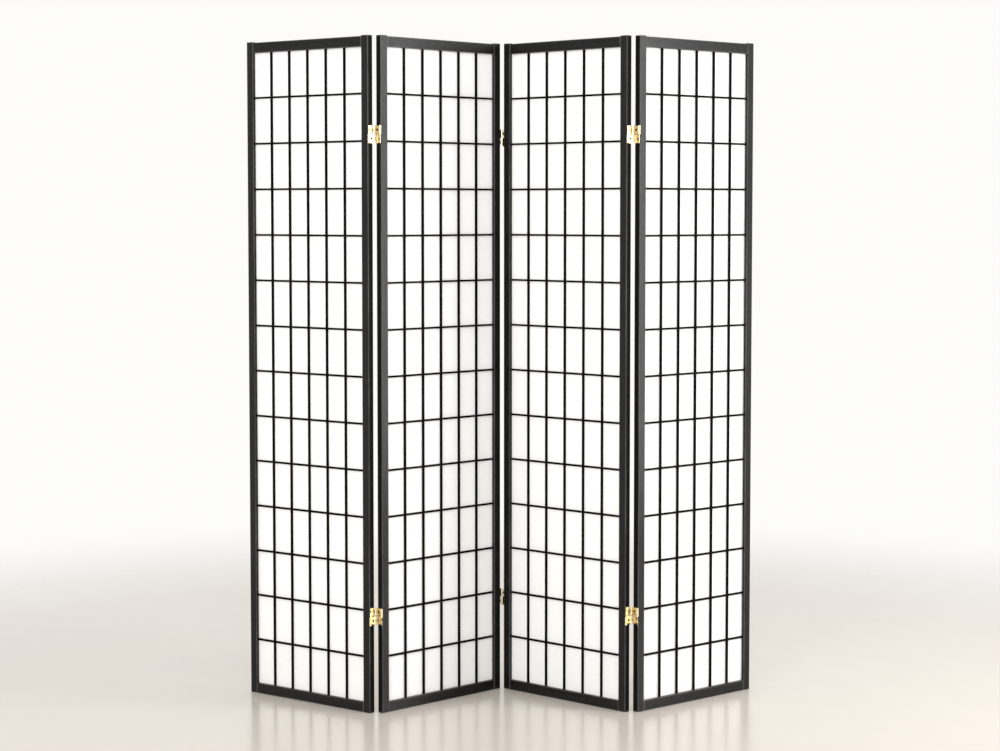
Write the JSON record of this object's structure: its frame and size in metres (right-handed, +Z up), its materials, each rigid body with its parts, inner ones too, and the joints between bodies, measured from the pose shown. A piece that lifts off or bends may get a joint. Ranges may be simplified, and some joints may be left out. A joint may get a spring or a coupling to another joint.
{
  "type": "folding screen",
  "caption": "Free-standing folding room divider: dark wooden panels with a fine lattice over white paper, joined by two-way hinges and standing in a zigzag.",
  "frame": {"origin": "on the floor, in the middle of the bounding box of the screen as it stands", "axes": "+Z up, +X to the right seen from the front, and the front, with the lattice, faces -Y"},
  "size_m": [1.3852, 0.3272, 1.79],
  "materials": {
    "black_wood": "black stain under satin lacquer",
    "paper": "matte, fibrous",
    "brass": "polished",
    "dowel_wood": "raw"
  },
  "bodies": {
    "panel_1": {"panel_1_left_stile": "black_wood", "panel_1_right_stile": "black_wood", "panel_1_top_rail": "black_wood", "panel_1_bottom_rail": "black_wood", "panel_1_uprights": "black_wood", "panel_1_crossbars": "black_wood", "panel_1_paper": "paper", "panel_1_beads": "black_wood", "panel_1_dowels": "dowel_wood", "hinge_1_left_leaves": "brass", "hinge_1_lower_links": "brass", "hinge_1_lower_pins": "brass", "hinge_1_left_screws": "brass"},
    "panel_2": {"panel_2_left_stile": "black_wood", "panel_2_right_stile": "black_wood", "panel_2_top_rail": "black_wood", "panel_2_bottom_rail": "black_wood", "panel_2_uprights": "black_wood", "panel_2_crossbars": "black_wood", "panel_2_paper": "paper", "panel_2_beads": "black_wood", "panel_2_dowels": "dowel_wood", "hinge_1_right_leaves": "brass", "hinge_1_upper_links": "brass", "hinge_1_upper_pins": "brass", "hinge_1_right_screws": "brass", "hinge_2_left_leaves": "brass", "hinge_2_upper_links": "brass", "hinge_2_upper_pins": "brass", "hinge_2_left_screws": "brass"},
    "panel_3": {"panel_3_left_stile": "black_wood", "panel_3_right_stile": "black_wood", "panel_3_top_rail": "black_wood", "panel_3_bottom_rail": "black_wood", "panel_3_uprights": "black_wood", "panel_3_crossbars": "black_wood", "panel_3_paper": "paper", "panel_3_beads": "black_wood", "panel_3_dowels": "dowel_wood", "hinge_2_right_leaves": "brass", "hinge_2_lower_links": "brass", "hinge_2_lower_pins": "brass", "hinge_2_right_screws": "brass", "hinge_3_left_leaves": "brass", "hinge_3_lower_links": "brass", "hinge_3_lower_pins": "brass", "hinge_3_left_screws": "brass"},
    "panel_4": {"panel_4_left_stile": "black_wood", "panel_4_right_stile": "black_wood", "panel_4_top_rail": "black_wood", "panel_4_bottom_rail": "black_wood", "panel_4_uprights": "black_wood", "panel_4_crossbars": "black_wood", "panel_4_paper": "paper", "panel_4_beads": "black_wood", "panel_4_dowels": "dowel_wood", "hinge_3_right_leaves": "brass", "hinge_3_upper_links": "brass", "hinge_3_upper_pins": "brass", "hinge_3_right_screws": "brass"}
  },
  "joints": [
    {"name": "fold_1", "type": "hinge", "parent": "panel_2", "child": "panel_1", "pos_m": [-0.33143, -0.14212, 0.895], "axis": [0, 0, -1], "range_deg": [-80, 99]},
    {"name": "fold_2", "type": "hinge", "parent": "panel_2", "child": "panel_3", "pos_m": [0.00284, 0.14338, 0.895], "axis": [0, 0, -1], "range_deg": [-85, 94]},
    {"name": "fold_3", "type": "hinge", "parent": "panel_3", "child": "panel_4", "pos_m": [0.34687, -0.13028, 0.895], "axis": [0, 0, 1], "range_deg": [-81.5, 97.5]}
  ]
}
